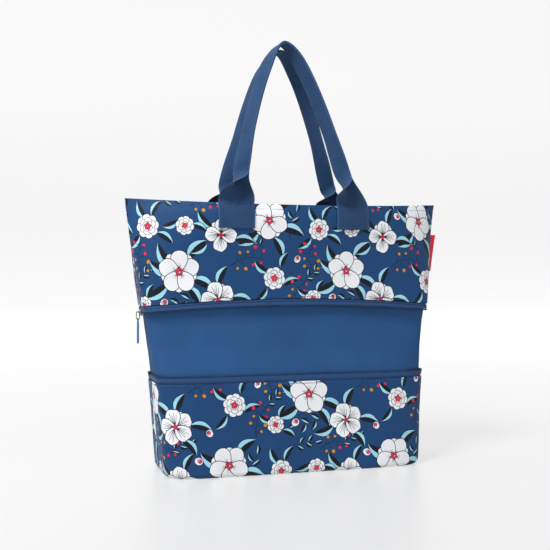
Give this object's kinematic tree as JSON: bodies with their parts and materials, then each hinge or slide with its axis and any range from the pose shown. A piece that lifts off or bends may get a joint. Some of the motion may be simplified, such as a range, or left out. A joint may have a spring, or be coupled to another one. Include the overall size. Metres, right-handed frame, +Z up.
{
  "type": "zip-expandable tote bag",
  "caption": "Open-topped cloth tote bag with a zip-expandable middle band, a stiffened base and two webbing shoulder handles sewn outside the hem.",
  "frame": {"origin": "on the resting face, under the middle of the base", "axes": "+Z up, front at -Y, side seams at -X and +X"},
  "size_m": [0.495, 0.1496, 0.6359],
  "materials": {
    "print_cloth": "woven polyester, navy with a printed flower pattern, soft sheen",
    "band_cloth": "plain woven polyester, mid blue, matt",
    "zip_tape": "herringbone zip tape, blue",
    "inside_cloth": "plain dark blue lining, matt",
    "webbing": "ribbed webbing, folded in half, matt",
    "label_weave": "red woven ribbon, plain",
    "stiff_board": "stiffener board, fine grain",
    "zip_coil": "nylon coil, dark blue",
    "zip_metal": "dark nickel-plated zinc, worn edges",
    "grip_rubber": "soft moulded rubber, blue"
  },
  "bodies": {
    "lower_section": {"base_panel": "print_cloth", "base_board": "stiff_board", "lower_front_panel": "print_cloth", "lower_back_panel": "print_cloth", "lower_left_seam_binding": "inside_cloth", "lower_right_seam_binding": "inside_cloth", "lower_zip_tape": "zip_tape", "lower_zip_coil": "zip_coil", "zip_insertion_pin": "zip_coil", "expansion_band_front": "band_cloth", "expansion_band_back": "band_cloth"},
    "upper_section": {"upper_front_panel": "print_cloth", "upper_back_panel": "print_cloth", "top_facing_front": "inside_cloth", "top_facing_back": "inside_cloth", "upper_left_seam_binding": "inside_cloth", "upper_right_seam_binding": "inside_cloth", "upper_zip_tape": "zip_tape", "upper_zip_coil": "zip_coil", "zip_retainer_box": "zip_coil", "side_label": "label_weave", "front_left_handle_tab": "webbing", "front_right_handle_tab": "webbing", "back_left_handle_tab": "webbing", "back_right_handle_tab": "webbing"},
    "front_handle": {"front_handle_strap": "webbing"},
    "back_handle": {"back_handle_strap": "webbing"},
    "zip_slider": {"zip_slider": "zip_metal"},
    "pull_link": {"pull_link": "zip_metal"},
    "pull_grip": {"pull_grip": "grip_rubber"}
  },
  "joints": [
    {"name": "expansion", "type": "slide", "parent": "lower_section", "child": "upper_section", "axis": [0, 0, 1], "range_m": [-0.088, 0], "deforming": ["expansion_band_front", "expansion_band_back"]},
    {"name": "front_handle_swing", "type": "hinge", "parent": "upper_section", "child": "front_handle", "pos_m": [0, -0.04901, 0.3912], "axis": [1, 0, 0], "range_deg": [0, 165]},
    {"name": "back_handle_swing", "type": "hinge", "parent": "upper_section", "child": "back_handle", "pos_m": [0, 0.04901, 0.3912], "axis": [-1, 0, 0], "range_deg": [0, 165]},
    {"name": "slider_travel", "type": "slide", "parent": "upper_section", "child": "zip_slider", "axis": [0, 1, 0], "range_m": [-0.01, 0.01]},
    {"name": "pull_link_swing", "type": "hinge", "parent": "zip_slider", "child": "pull_link", "pos_m": [-0.22613, 0, 0.23197], "axis": [0, 1, 0], "range_deg": [0, 95]},
    {"name": "pull_grip_swing", "type": "hinge", "parent": "pull_link", "child": "pull_grip", "pos_m": [-0.22613, 0, 0.22197], "axis": [1, 0, 0], "range_deg": [-60, 60]}
  ]
}
